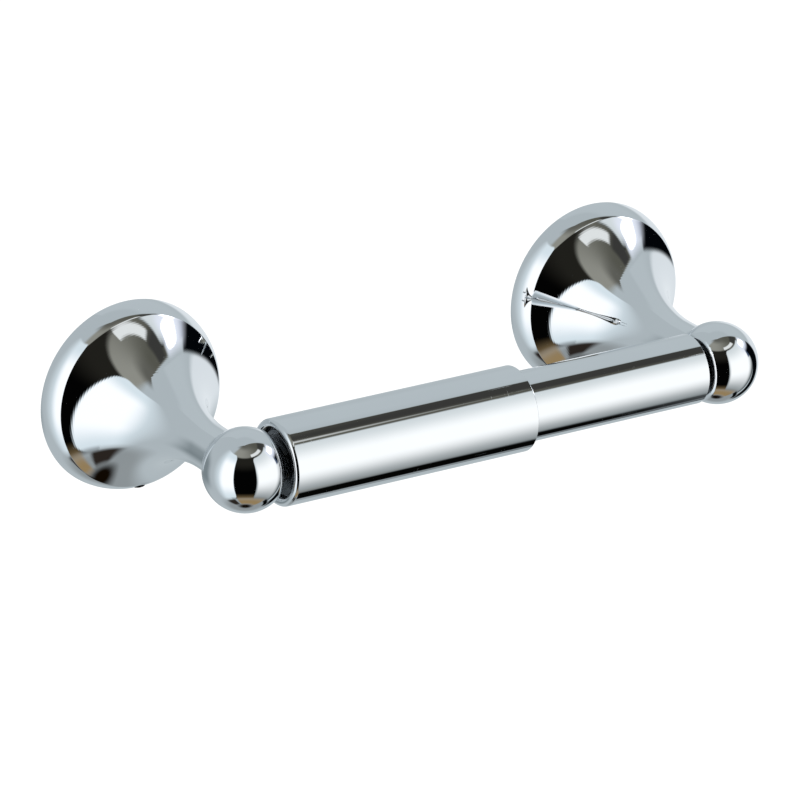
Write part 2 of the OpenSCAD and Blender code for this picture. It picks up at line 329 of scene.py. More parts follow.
def turned(name, outline, place, finish, sides):
    mesh = bpy.data.meshes.new(name + "Outline")
    points = [(r * mm, 0, h * mm) for r, h in outline]
    mesh.from_pydata(points, [(i, i + 1) for i in range(len(points) - 1)], [])
    return grown(name, latheTree, {"Sides": sides, "Finish": finish}, mesh, place)


def moved(x, y, z):
    return Matrix.Translation(Vector((x, y, z)) * mm)


def offWall(x, y=0.0, z=0.0):
    # Turnings on a post grow out of the wall, against Y
    return moved(x, y, z) @ Matrix.Rotation(math.pi / 2, 4, "X")


alongRoller = Matrix.Translation((0, rollerAxisY, 0)) @ Matrix.Rotation(math.pi / 2, 4, "Y")


# Finishes

def finishTree(name):
    material = bpy.data.materials.new(name)
    material.use_nodes = True
    tree = material.node_tree
    shader = tree.nodes["Principled BSDF"]
    place = tree.nodes.new("ShaderNodeTexCoord").outputs["Object"]
    return material, tree, shader, place


def noise(tree, place, scale, detail=3.0, stretch=None):
    if stretch:
        place = addNode(tree, "ShaderNodeMapping", Vector=place, Scale=stretch).outputs[0]
    node = addNode(tree, "ShaderNodeTexNoise", Vector=place, Scale=scale, Detail=detail, Roughness=0.55)
    return node.outputs[0]


def addBump(tree, height, distance, under=None):
    node = addNode(tree, "ShaderNodeBump", Strength=1.0, Distance=distance, Height=height)
    if under:
        feed(tree, node.inputs["Normal"], under)
    return node.outputs[0]


chromeLook = {"light": (0.83, 0.845, 0.86, 1), "deep": (0.79, 0.805, 0.825, 1), "cloudScale": 45.0,
              "gloss": 0.018, "smudge": 0.035, "smudgeScale": 130.0, "smudgeFrom": 0.48, "smudgeTo": 0.75,
              "scratch": 0.16, "scratchDepth": 1.6e-6, "scratchEdge": 0.05, "patchScale": 90.0,
              "patchFrom": 0.5, "patchTo": 0.62, "peel": 2.2e-6, "peelScale": 260.0}


def hairlines(tree, place, stretch, cover):
    # Short fine scratches that run along the axis whose stretch is the smallest, in scattered patches
    look = chromeLook
    lines = ramp(tree, noise(tree, place, 1.0, 2.0, stretch), cover, cover + look["scratchEdge"])
    patches = ramp(tree, noise(tree, place, look["patchScale"], 2.0), look["patchFrom"], look["patchTo"])
    return calc(tree, "MULTIPLY", lines, patches)


def chromeFinish(name, stretches):
    material, tree, shader, place = finishTree(name)
    look = chromeLook
    cloud = noise(tree, place, look["cloudScale"], 4.0)
    colour = blendColours(tree, cloud, look["deep"], look["light"])
    marks = None
    for stretch, cover in stretches:
        lines = hairlines(tree, place, stretch, cover)
        marks = lines if marks is None else calc(tree, "MAXIMUM", marks, lines)
    cloudy = noise(tree, place, look["smudgeScale"], 5.0)
    smudges = ramp(tree, cloudy, look["smudgeFrom"], look["smudgeTo"], 0.0, look["smudge"])
    clean = calc(tree, "ADD", smudges, look["gloss"])
    peel = addBump(tree, noise(tree, place, look["peelScale"], 2.0), look["peel"])
    feedNode(tree, shader, Metallic=1.0, Base_Color=colour,
             Roughness=calc(tree, "MULTIPLY_ADD", marks, look["scratch"], clean),
             Normal=addBump(tree, marks, look["scratchDepth"], peel))
    return material


polishedChrome = chromeFinish("polishedChrome", [((900, 2600, 2600), 0.70), ((2600, 1100, 2600), 0.72)])
tubeChrome = chromeFinish("tubeChrome", [((60, 3000, 3000), 0.665), ((4200, 260, 260), 0.70)])


metalLook = {"patchScale": 120.0, "patchRoughness": 0.22, "stainFrom": 0.45, "stainTo": 0.7}


def roughMetal(name, light, deep, gloss, grain, grainDepth, stretch=None, stain=None):
    look = metalLook
    material, tree, shader, place = finishTree(name)
    patches = noise(tree, place, look["patchScale"], 5.0)
    fine = noise(tree, place, grain, 4.0, stretch)
    colour = blendColours(tree, fine, deep, light)
    if stain:
        colour = blendColours(tree, ramp(tree, patches, look["stainFrom"], look["stainTo"]), colour, stain)
    feedNode(tree, shader, Metallic=1.0, Base_Color=colour, Normal=addBump(tree, fine, grainDepth),
             Roughness=calc(tree, "MULTIPLY_ADD", patches, look["patchRoughness"], gloss))
    return material


castInside = roughMetal("castInside", (0.62, 0.63, 0.64, 1), (0.44, 0.45, 0.46, 1), 0.30, 900.0, 4e-5,
                        stain=(0.38, 0.37, 0.36, 1))
brightZinc = roughMetal("brightZinc", (0.78, 0.79, 0.80, 1), (0.62, 0.64, 0.67, 1), 0.16, 1500.0, 6e-6,
                        stain=(0.70, 0.68, 0.60, 1))
rolledPlate = roughMetal("rolledPlate", (0.66, 0.67, 0.68, 1), (0.46, 0.47, 0.49, 1), 0.30, 1.0, 8e-6,
                         stretch=(3500, 160, 160), stain=(0.58, 0.58, 0.55, 1))
blackOxide = roughMetal("blackOxide", (0.060, 0.060, 0.066, 1), (0.022, 0.022, 0.025, 1), 0.34, 1300.0, 8e-6,
                        stain=(0.10, 0.085, 0.075, 1))
jointShade = roughMetal("jointShade", (0.085, 0.088, 0.095, 1), (0.030, 0.032, 0.036, 1), 0.42, 1400.0, 6e-6)
# Painted shade: the end caps are chrome on the real roller, and this dark colour stands for the shade in the
# recess between each tube end and its ball
capPaintedShade = roughMetal("capPaintedShade", (0.15, 0.155, 0.165, 1), (0.075, 0.080, 0.088, 1), 0.08, 420.0, 5e-7)
springWire = roughMetal("springWire", (0.60, 0.61, 0.63, 1), (0.34, 0.35, 0.37, 1), 0.20, 2200.0, 6e-6,
                        stain=(0.42, 0.40, 0.38, 1))


nylonLook = {"deep": (0.80, 0.79, 0.73, 1), "light": (0.88, 0.87, 0.83, 1), "cloudScale": 160.0,
             "gloss": 0.34, "cloudRoughness": 0.2, "seeThrough": 0.25,
             "seeThroughRadius": (0.002, 0.0018, 0.0014), "grainScale": 2600.0, "grainDepth": 1.2e-5}


def nylonFinish():
    look = nylonLook
    material, tree, shader, place = finishTree("naturalNylon")
    cloud = noise(tree, place, look["cloudScale"], 4.0)
    feedNode(tree, shader, Base_Color=blendColours(tree, cloud, look["deep"], look["light"]),
             Roughness=calc(tree, "MULTIPLY_ADD", cloud, look["cloudRoughness"], look["gloss"]),
             Subsurface_Weight=look["seeThrough"], Subsurface_Radius=look["seeThroughRadius"],
             Normal=addBump(tree, noise(tree, place, look["grainScale"]), look["grainDepth"]))
    return material


naturalNylon = nylonFinish()
print("finishes made")


def seat(piece, body, node):
    # Every finished piece is fastened to its body and stands for its solid
    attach(piece, body)
    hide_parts(node)


# Posts

post = {"flangeRadius": 27.9, "rimArc": 14.0, "rimHeight": 6.8, "rimStep": 2.6, "flareArc": 52.0,
        "neckRadius": 6.6, "wall": 2.4, "neckEndWall": 5.0, "creaseSoft": 0.32, "edgeSoft": 0.25,
        "spigotHole": 3.15, "spigotDepth": 1.25, "screwHole": 2.286, "skinDepth": 0.35, "backEdge": 0.02,
        "ledgeHalfWidth": 5.0, "ledgeUnderside": 18.21, "ledgeNear": 3.0, "ledgeFar": 5.8, "ledgeInset": 0.3,
        "bossHalfWidth": 4.5, "bossFace": 19.59, "bossNear": 1.5, "bossFar": 8.0, "bossEnd": 2.5,
        "bossSlopeAt": 6.0, "bossSlope": 4.3, "bossInset": 0.4, "setScrewHole": 2.05, "setScrewDistance": 4.6,
        "drillLength": 14.0, "drillStart": -30.0}
rimCentre = post["flangeRadius"] - post["rimArc"]
creaseRadius = post["flangeRadius"] - post["rimStep"]
rimCentreHeight = post["rimHeight"] - math.sqrt(post["rimArc"] ** 2 - (creaseRadius - rimCentre) ** 2)
flareCentre = post["neckRadius"] + post["flareArc"]
flareCentreHeight = post["rimHeight"] + math.sqrt(post["flareArc"] ** 2 - (flareCentre - creaseRadius) ** 2)


def rimRadius(height, wall=0.0):
    return rimCentre + math.sqrt(max((post["rimArc"] - wall) ** 2 - (height - rimCentreHeight) ** 2, 0))


def flareRadius(height, wall=0.0):
    below = min(height, flareCentreHeight) - flareCentreHeight
    return flareCentre - math.sqrt(max((post["flareArc"] + wall) ** 2 - below ** 2, 0))


def skinRadius(height):
    return rimRadius(height) if height < post["rimHeight"] else flareRadius(height)


def hollowCorner():
    # Where the hollow's two arcs cross, found by halving
    low, high = 0.0, post["rimHeight"]
    for _ in range(40):
        middle = (low + high) / 2
        if flareRadius(middle, post["wall"]) > rimRadius(middle, post["wall"]):
            low = middle
        else:
            high = middle
    return low


def rimAngle(height, wall=0.0):
    return math.degrees(math.asin((height - rimCentreHeight) / (post["rimArc"] - wall)))


def flareAngle(height, wall=0.0):
    return 180 + math.degrees(math.asin((flareCentreHeight - height) / (post["flareArc"] + wall)))


def postOutline(neckEnd):
    wall, neck, soft = post["wall"], post["neckRadius"], post["edgeSoft"]
    boreEnd, corner = neckEnd - post["neckEndWall"], hollowCorner()
    spigotFloor = neckEnd - post["spigotDepth"]
    rim, flare = post["rimArc"], post["flareArc"]
    rimEnd, flareStart = rimAngle(post["rimHeight"]), flareAngle(post["rimHeight"])
    runs = [arcRun(rimCentre, rimCentreHeight, rim, rimAngle(0), rimEnd, steps=20),
            arcRun(flareCentre, flareCentreHeight, flare, flareStart, 180, steps=76)]
    runs += lineRuns((neck, flareCentreHeight), (neck, neckEnd), (post["spigotHole"], neckEnd),
                     (post["spigotHole"], spigotFloor), (post["screwHole"], spigotFloor),
                     (post["screwHole"], boreEnd), (neck - wall, boreEnd), (neck - wall, flareCentreHeight))
    runs += [arcRun(flareCentre, flareCentreHeight, flare + wall, 180, flareAngle(corner, wall), steps=40),
             arcRun(rimCentre, rimCentreHeight, rim - wall, rimAngle(corner, wall), rimAngle(0, wall),
                    steps=12),
             [(rimRadius(0, wall), 0), (rimRadius(0), 0)]]
    softness = [post["creaseSoft"], 0, soft, 0.12, 0.2, 0.12, 0.12, 0.5, 0, 0, 0.6, soft, 0.18]
    return outlineOf(runs, softness, closed=True)


def buildPost(side):
    # The ledge at the top hangs on the bracket's hook, and the set screw runs in the boss at the bottom
    x, neckEnd = middleX(side + "_post"), -boxOf(side + "_post")[0].y
    piece = turned(side + "Post", postOutline(neckEnd), offWall(x), polishedChrome, sides=208)
    innerTop = post["flangeRadius"] - post["wall"]
    half = post["ledgeHalfWidth"]
    ledge = box("ledge", (x - half, -post["ledgeFar"], post["ledgeUnderside"]),
                (x + half, -post["ledgeNear"], innerTop - post["ledgeInset"]))
    carve(piece, ledge, "UNION")
    near, far, inner, half = post["bossNear"], post["bossFar"], post["bossFace"], post["bossHalfWidth"]
    slope = [(-near, -inner), (-far, -inner), (-far, -inner - post["bossEnd"]),
             (-post["bossSlopeAt"], -inner - post["bossSlope"]), (-near, -innerTop - post["bossInset"])]
    carve(piece, prism("boss", slope, "X", x - half, x + half), "UNION")
    hole, length = post["setScrewHole"], post["drillLength"]
    start = moved(x, -post["setScrewDistance"], post["drillStart"])
    drill = [(0, 0), (hole, 0), (hole, length), (0, length)]
    carve(piece, turned("drill", drill, start, polishedChrome, sides=64))
    mesh = piece.data
    mesh.materials.clear()
    for finish in (polishedChrome, castInside):
        mesh.materials.append(finish)
    for face in mesh.polygons:
        centre = face.center / mm
        radius, height = math.hypot(centre.x - x, centre.z), -centre.y
        skin = skinRadius(min(height, flareCentreHeight)) - post["skinDepth"]
        showing = height > post["backEdge"] and radius > skin
        face.material_index = 0 if showing else 1
    seat(piece, "holder", side + "_post")


for side in sideSigns:
    buildPost(side)
print("posts made")

# Balls

ball = {"radius": 11.8, "flat": 7.2, "bevel": 0.7, "bevelSlope": 0.5, "blank": 2.0, "collarRadius": 7.4,
        "collarHeight": 1.4, "collarRoot": 1.0, "beadInset": 0.12, "grooveStep": 0.22, "spigotRadius": 3.1,
        "spigotHeight": 1.2, "holeRadius": 2.136, "holeDepth": 6.3, "holeTip": 0.6, "socketRadius": 3.68,
        "socketDepth": 4.6, "socketChamfer": 0.35, "shadeInset": 0.08, "shadeBefore": 0.06,
        "shadeAfter": 0.42, "neckShadeInset": 0.4, "neckShadeBefore": 0.17, "neckShadeAfter": 0.01}


def collarFront():
    return math.sqrt(ball["radius"] ** 2 - ball["collarRadius"] ** 2)


def ballOutline():
    # Heights run from the front of the ball toward the wall
    radius, end = ball["radius"], collarFront() + ball["grooveStep"]
    sphere = arcRun(0, 0, radius, -90, math.degrees(math.asin(end / radius)), steps=96)
    sphere[0] = (0, -radius)      # exactly on the axis, so that the front closes
    return outlineOf([sphere] + lineRuns(sphere[-1], (0, sphere[-1][1])), [0.05])


def collarOutline():
    # A bead round the neck, and the spigot that centres the ball on the post
    front, collar = collarFront(), ball["collarRadius"]
    back = front + ball["collarHeight"]
    half = (back - front - ball["beadInset"]) / 2
    end = back + ball["spigotHeight"]
    bead = arcRun(collar - half, back - half, half, -90, 90, steps=20)
    root = front - ball["collarRoot"]
    runs = lineRuns((0, root), (bead[0][0], root), bead[0]) + [bead]
    runs += lineRuns(bead[-1], (ball["spigotRadius"], back), (ball["spigotRadius"], end), (0, end))
    return outlineOf(runs, [0, 0, 0, 0.15, 0.2])


def holeOutline():
    # The screw's hole ends in a drill's cone, and the drill starts past the spigot's end
    back = collarFront() + ball["collarHeight"]
    deepest, hole, past = back - ball["holeDepth"], ball["holeRadius"], back + ball["spigotHeight"] + 1
    return [(0, deepest - ball["holeTip"]), (hole, deepest), (hole, past), (0, past)]


def flatCutter():
    # What is turned away from the ball's roller side: the flat's bevel and the socket
    flat, blank = ball["flat"], ball["radius"] + ball["blank"]
    flatRadius = math.sqrt(ball["radius"] ** 2 - flat ** 2)
    start = flatRadius - ball["bevel"]
    bevelEnd = flat - ball["bevelSlope"] * (blank - start)
    socket, bottom, chamfer = ball["socketRadius"], flat - ball["socketDepth"], ball["socketChamfer"]
    runs = lineRuns((0, bottom), (socket, bottom), (socket, flat - chamfer), (socket + chamfer, flat),
                    (start, flat), (blank, bevelEnd), (blank, blank), (0, blank))
    return outlineOf(runs, [0.3, 0.08, 0.08, 0.28])


def shadeJoints(mesh, x):
    # The groove before the bead, and the line where the bead meets the neck, stay dark
    front = collarFront()
    back = front + ball["collarHeight"]
    mesh.materials.append(jointShade)
    for face in mesh.polygons:
        centre = face.center / mm
        height, radius = centre.y - rollerAxisY / mm, math.hypot(centre.x - x, centre.z)
        inGroove = front - ball["shadeBefore"] < height < front + ball["shadeAfter"]
        inGroove = inGroove and radius < ball["collarRadius"] - ball["shadeInset"]
        atNeck = back - ball["neckShadeBefore"] < height < back + ball["neckShadeAfter"]
        atNeck = atNeck and radius > post["neckRadius"] - ball["neckShadeInset"]
        if inGroove or atNeck:
            face.material_index = 1


def buildBall(side):
    sign = sideSigns[side]
    low, high = boxOf(side + "_ball")
    x = low.x + ball["radius"] if sign < 0 else high.x - ball["radius"]
    centre = moved(x, rollerAxisY / mm, 0)
    turning = centre @ Matrix.Rotation(-math.pi / 2, 4, "X")
    facing = centre @ Matrix.Rotation(-sign * math.pi / 2, 4, "Y")
    piece = turned(side + "Ball", ballOutline(), turning, polishedChrome, sides=192)
    carve(piece, turned("cutter", flatCutter(), facing, polishedChrome, sides=192))
    carve(piece, turned("collar", collarOutline(), turning, polishedChrome, sides=192), "UNION")
    carve(piece, turned("drill", holeOutline(), turning, polishedChrome, sides=64))
    shadeJoints(piece.data, x)
    seat(piece, "holder", side + "_ball")


for side in sideSigns:
    buildBall(side)
print("balls made")

# Roller

tube = {"step": 2.2, "wall": 0.9, "bead": 1.2, "mouthLip": 1.0, "mouthPlay": 0.08, "edge": 0.25}
outerLow, outerHigh = boxOf("outer_tube")
innerLow, innerHigh = boxOf("inner_tube")
outerRadius = outerHigh.z
innerRadius = outerRadius - tube["step"]


def buildOuterTube():
    bore, lipRadius, bead = outerRadius - tube["wall"], innerRadius + tube["mouthPlay"], tube["bead"]
    closedEnd, mouth, edge = outerLow.x, outerHigh.x, tube["edge"]
    lip = mouth - tube["mouthLip"]
    beadMeets = math.degrees(math.acos((bore - (outerRadius - bead)) / bead))
    beadRun = arcRun(outerRadius - bead, closedEnd + bead, bead, 0, -360 + beadMeets, steps=40)
    runs = [beadRun] + lineRuns((bore, beadRun[-1][1]), (bore, lip), (lipRadius, lip), (lipRadius, mouth),
                                (outerRadius - edge, mouth), (outerRadius, mouth - edge),
                                (outerRadius, closedEnd + bead))
    outline = outlineOf(runs, [0.1, 0.2, 0.1, 0.15, 0.06, 0.06, 0], closed=True)
    return turned("outerTube", outline, alongRoller, tubeChrome, sides=192)


def buildInnerTube():
    start, end, edge, bore = innerLow.x, innerHigh.x, tube["edge"], innerRadius - tube["wall"]
    runs = lineRuns((bore, start), (innerRadius, start), (innerRadius, end - edge), (innerRadius - edge, end),
                    (bore, end), (bore, start))
    outline = outlineOf(runs, [0.15, 0.06, 0.06, 0.15, 0.15], closed=True)
    return turned("innerTube", outline, alongRoller, tubeChrome, sides=192)


cap = {"stepRadius": 5.6, "stepHeight": 0.7, "tipRadius": 3.6, "tipBevel": 0.8, "outerBossRadius": 9.05,
       "outerBossHeight": 0.85, "springBossRadius": 5.27, "thickness": 5.4, "outerFaceInset": 1.6,
       "innerFaceInset": 0.8, "play": 0.1, "grooveRadius": 7.5, "grooveWidth": 0.5, "grooveDepth": 0.22}


def capFace(face, direction, tipEnd):
    # Tip, step and face with a turned groove, from the tip's end outwards
    # direction is the way that the tip points along the roller
    tip, step, groove, bevel = cap["tipRadius"], cap["stepRadius"], cap["grooveRadius"], cap["tipBevel"]
    half, bottom = cap["grooveWidth"] / 2, face - direction * cap["grooveDepth"]
    stepFace = face + direction * cap["stepHeight"]
    return [(0, tipEnd), (tip - bevel, tipEnd), (tip, tipEnd - direction * bevel), (tip, stepFace),
            (step, stepFace), (step, face), (groove - half, face), (groove - half / 2, bottom),
            (groove + half / 2, bottom), (groove + half, face)]


capFaceSoftness = [0.25, 0.25, 0.12, 0.15, 0.15, 0.08, 0.06, 0.06, 0.08]    # one for each corner of the face


def buildOuterCap():
    low, high = boxOf("outer_end_cap")
    face = outerLow.x + cap["outerFaceInset"]
    front, back = face + cap["outerBossHeight"], face + cap["thickness"]
    plug = outerRadius - tube["wall"] - cap["play"]
    boss, springBoss = cap["outerBossRadius"], cap["springBossRadius"]
    points = capFace(face, -1, low.x) + [(boss, face), (boss, front), (plug, front), (plug, back),
                                         (springBoss, back), (springBoss, high.x), (0, high.x)]
    softness = capFaceSoftness + [0.2, 0.1, 0.25, 0.25, 0.15, 0.3]
    # The cap is coloured with painted shade for the dark recess at the tube's end
    return turned("outerEndCap", outlineOf(lineRuns(*points), softness), alongRoller, capPaintedShade, sides=144)


def buildInnerCap():
    low, high = boxOf("inner_end_cap")
    face = innerHigh.x - cap["innerFaceInset"]
    plug = innerRadius - tube["wall"] - cap["play"]
    points = capFace(face, 1, high.x) + [(plug, face), (plug, low.x), (0, low.x)]
    softness = capFaceSoftness + [0.25, 0.25]
    # The cap is coloured with painted shade for the dark recess at the tube's end
    return turned("innerEndCap", outlineOf(lineRuns(*points), softness), alongRoller, capPaintedShade, sides=144)


seat(buildOuterTube(), "outer_half", "outer_tube")
seat(buildOuterCap(), "outer_half", "outer_end_cap")
seat(buildInnerTube(), "inner_half", "inner_tube")
seat(buildInnerCap(), "inner_half", "inner_end_cap")
print("roller made")

# Slide bush and spring

bush = {"flangeLength": 6.0, "spigotRadius": 9.07, "pocketRadius": 7.27, "floor": 2.0, "chamfer": 0.35,
        "grooveHalfWidth": 0.55, "grooveDepth": 0.3}


def buildBush():
    # The chamfered flange has one relief groove round its middle
    low, high = boxOf("slide_bush")
    start, end, flange, chamfer = low.x, high.x, high.z, bush["chamfer"]
    step, middle = start + bush["flangeLength"], start + bush["flangeLength"] / 2
    spigot, pocket, pocketEnd = bush["spigotRadius"], bush["pocketRadius"], end - bush["floor"]
    half, bottom = bush["grooveHalfWidth"], flange - bush["grooveDepth"]
    points = [(0, pocketEnd), (pocket, pocketEnd), (pocket, start), (flange - chamfer, start),
              (flange, start + chamfer), (flange, middle - half), (bottom, middle - half / 2),
              (bottom, middle + half / 2), (flange, middle + half), (flange, step - chamfer),
              (flange - chamfer, step), (spigot, step), (spigot, end - 2 * chamfer), (spigot - chamfer, end),
              (0, end)]
    softness = [0.4, 0.25, 0.1, 0.1, 0.08, 0.06, 0.06, 0.08, 0.1, 0.1, 0.3, 0.12, 0.12]
    return turned("slideBush", outlineOf(lineRuns(*points), softness), alongRoller, naturalNylon, sides=128)


spring = {"wireRadius": 0.65, "coilRadius": 6.27, "closedTurns": 1.5, "openTurns": 7.0, "coilGap": 0.05,
          "stepsPerTurn": 48, "wireSides": 14}


def buildCoilTree():
    # Wire swept along a helix that is closed at both ends and open between them
    sizes = ("Start", "End", "Coil Radius", "Wire Radius", "Closed Turns", "Open Turns", "Closed Pitch")
    tree, given = shapeTree("coilWinding", sizes, ("Steps Per Turn", "Wire Sides"))
    closed, openTurns, pitch = given["Closed Turns"], given["Open Turns"], given["Closed Pitch"]
    turns = calc(tree, "MULTIPLY_ADD", closed, 2.0, openTurns)
    count = calc(tree, "MULTIPLY_ADD", turns, given["Steps Per Turn"], 1.0)
    line = addNode(tree, "GeometryNodeMeshLine", {"mode": "OFFSET"}, Count=count, Offset=(0, 0, 1e-4))
    turn = calc(tree, "DIVIDE", tree.nodes.new("GeometryNodeInputIndex").outputs[0], given["Steps Per Turn"])
    closedLength = calc(tree, "MULTIPLY", calc(tree, "MULTIPLY", closed, pitch), 2.0)
    length = calc(tree, "SUBTRACT", given["End"], given["Start"])
    openPitch = calc(tree, "DIVIDE", calc(tree, "SUBTRACT", length, closedLength), openTurns)
    pastClosed = calc(tree, "SUBTRACT", turn, closed)
    inOpen = between(tree, pastClosed, openTurns)
    inLast = calc(tree, "MAXIMUM", calc(tree, "SUBTRACT", pastClosed, openTurns), 0.0)
    inClosed = calc(tree, "ADD", calc(tree, "MINIMUM", turn, closed), inLast)
    height = calc(tree, "MULTIPLY_ADD", inOpen, openPitch, given["Start"])
    height = calc(tree, "MULTIPLY_ADD", inClosed, pitch, height)
    wound = roundAxis(tree, line.outputs[0], given["Coil Radius"], turn, height)
    path = addNode(tree, "GeometryNodeMeshToCurve", Mesh=wound)
    ring = addNode(tree, "GeometryNodeCurvePrimitiveCircle", Resolution=given["Wire Sides"],
                   Radius=given["Wire Radius"])
    wire = addNode(tree, "GeometryNodeCurveToMesh", Curve=path.outputs[0], Profile_Curve=ring.outputs[0],
                   Fill_Caps=True)
    return closeTree(tree, wire.outputs[0], given["Finish"])


def buildSpring():
    low, high = boxOf("spring")
    radius, turns = spring["wireRadius"], (spring["closedTurns"], spring["openTurns"])
    values = {"Start": low.x + radius, "End": high.x - radius, "Coil Radius": spring["coilRadius"],
              "Wire Radius": radius, "Closed Pitch": 2 * radius + spring["coilGap"]}
    values = inMetres(values)
    values |= {"Closed Turns": turns[0], "Open Turns": turns[1], "Steps Per Turn": spring["stepsPerTurn"],
               "Wire Sides": spring["wireSides"], "Finish": springWire}
    piece = grown("rollerSpring", buildCoilTree(), values, place=alongRoller)
    seat(piece, "outer_half", "spring")
    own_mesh(piece)


seat(buildBush(), "guide", "slide_bush")
buildSpring()
print("bush and spring made")

# Screws

def buildThreadTree():
    # A closed shank along -Z: plain under the head, then a right-handed thread, then the point
    sizes = ("Length", "Plain Length", "Plain Radius", "Root Radius", "Crest Radius", "Pitch", "Valley",
             "Crest", "Point Length", "Point Share")
    tree, given = shapeTree("threadTurning", sizes, ("Rows", "Sides"))
    rows, sides, length = given["Rows"], given["Sides"], given["Length"]
    grid, row, around = rolledGrid(tree, calc(tree, "ADD", rows, 2), sides)
    share = calc(tree, "DIVIDE", calc(tree, "SUBTRACT", row, 1), calc(tree, "SUBTRACT", rows, 1))
    depth = calc(tree, "MULTIPLY", between(tree, share, 1.0), length)
    wave = calc(tree, "FRACT", calc(tree, "ADD", calc(tree, "DIVIDE", depth, given["Pitch"]), around))
    ridge = calc(tree, "SUBTRACT", 1.0, calc(tree, "ABSOLUTE", calc(tree, "MULTIPLY_ADD", wave, 2.0, -1.0)))
    profile = ramp(tree, ridge, given["Valley"], given["Crest"])
    plain = given["Plain Length"]
    threaded = ramp(tree, depth, plain, calc(tree, "ADD", plain, given["Pitch"]))
    base = ramp(tree, threaded, 0.0, 1.0, given["Plain Radius"], given["Root Radius"])
    rise = calc(tree, "MULTIPLY", profile, threaded)
    rise = calc(tree, "MULTIPLY", rise, calc(tree, "SUBTRACT", given["Crest Radius"], base))
    toEnd = calc(tree, "DIVIDE", calc(tree, "SUBTRACT", length, depth), given["Point Length"])
    pointShare = given["Point Share"]
    taper = calc(tree, "MULTIPLY_ADD", calc(tree, "MINIMUM", toEnd, 1.0),
                 calc(tree, "SUBTRACT", 1.0, pointShare), pointShare)
    # The first and last rows shrink to a point and close the ends
    pastFirst = calc(tree, "GREATER_THAN", row, 0.5)
    beforeLast = calc(tree, "LESS_THAN", row, calc(tree, "ADD", rows, 0.5))
    radius = calc(tree, "MULTIPLY", calc(tree, "ADD", base, rise), taper)
    radius = calc(tree, "MULTIPLY", radius, calc(tree, "MULTIPLY", pastFirst, beforeLast))
    turning = roundAxis(tree, grid, radius, around, calc(tree, "MULTIPLY", depth, -1.0))
    return closeTurning(tree, turning, given["Finish"])


threadTree = buildThreadTree()
thread = {"rowsPerTurn": 14, "sides": 36, "headSink": 0.4}


def shankPiece(look, length, crest, finish, sink=0.0):
    # sink is how far the shank starts inside the head
    values = {"Length": length + sink, "Plain Length": look["plain"] + sink,
              "Plain Radius": crest - look["neckInset"], "Root Radius": crest - look["threadDepth"],
              "Crest Radius": crest, "Pitch": look["pitch"], "Point Length": look["point"]}
    values = inMetres(values)
    rows = round((length + sink) / look["pitch"] * thread["rowsPerTurn"])
    values |= {"Valley": look["valley"], "Crest": look["crest"], "Point Share": look["pointShare"],
               "Rows": rows, "Sides": thread["sides"], "Finish": finish}
    return grown("shank", threadTree, values, place=Matrix.Translation((0, 0, sink * mm)))


def crossRecess(look, radius, height):
    reach, half = look["recessReach"] * radius, look["recessWidth"] / 2
    arm = [(reach, -half), (reach, half), (half, half)]
    corners = []
    for _ in range(4):
        corners += arm
        arm = [(-b, a) for a, b in arm]
    return prism("recess", corners, "Z", height - look["recessDepth"], height + 1)


def headedScrew(look, radius, height, length, crest, finish):
    # Domed pan head that stands on height 0, with the shank below it
    dome = radius * look["domeRatio"]
    edge = math.degrees(math.acos(radius / dome))
    runs = [arcRun(0, height - dome, dome, 90, edge, steps=20)]
    runs[0][0] = (0, height)      # exactly on the axis, so that the dome closes
    runs += lineRuns(runs[0][-1], (radius, 0), (0, 0))
    piece = turned("head", outlineOf(runs, [0.3, 0.12]), None, finish, sides=72)
    carve(piece, shankPiece(look, length, crest, finish, thread["headSink"]), "UNION")
    return carve(piece, crossRecess(look, radius, height))


def placedCopy(name, pattern, place):
    mesh = pattern.data.copy()
    mesh.name = name
    mesh.transform(place)
    return newPiece(name, mesh)


panHead = {"domeRatio": 1.6, "recessReach": 0.55, "recessWidth": 0.9, "recessDepth": 1.3}
fineThread = {"threadDepth": 0.42, "pitch": 0.7, "valley": 0.12, "crest": 0.88}
wallScrew = {"plain": 2.6, "neckInset": 0.35, "threadDepth": 0.72, "pitch": 1.8, "valley": 0.35,
             "crest": 0.92, "point": 4.0, "pointShare": 0.02, "crestRadius": 2.1, "underHead": 2.55} | panHead
ballScrew = {"plain": 0.8, "neckInset": 0.2, "point": 0.6, "pointShare": 0.8, "crestRadius": 2.086,
             "headHeight": 2.4} | panHead | fineThread
setScrew = {"plain": -0.7, "neckInset": 0.42, "point": 0.5, "pointShare": 0.75, "hexAcross": 2.0,
            "hexDepth": 2.2} | fineThread


def buildWallScrews():
    names = [f"{side}_{end}_wall_screw" for side in sideSigns for end in ("upper", "lower")]
    low, high = boxOf(names[0])
    under = wallScrew["underHead"]
    pattern = headedScrew(wallScrew, (high.x - low.x) / 2, -low.y - under, high.y + under,
                          wallScrew["crestRadius"], brightZinc)
    for name in names:
        low, high = boxOf(name)
        place = offWall((low.x + high.x) / 2, -under, (low.z + high.z) / 2)
        seat(placedCopy(camel(name), pattern, place), "holder", name)
    bpy.data.objects.remove(pattern)


def buildBallScrews():
    low, high = boxOf("left_ball_screw")
    height = ballScrew["headHeight"]
    pattern = headedScrew(ballScrew, (high.x - low.x) / 2, height, high.y - height - low.y,
                          ballScrew["crestRadius"], brightZinc)
    for side in sideSigns:
        low, high = boxOf(side + "_ball_screw")
        place = moved((low.x + high.x) / 2, high.y - height, 0) @ Matrix.Rotation(-math.pi / 2, 4, "X")
        seat(placedCopy(side + "BallScrew", pattern, place), "holder", side + "_ball_screw")
    bpy.data.objects.remove(pattern)


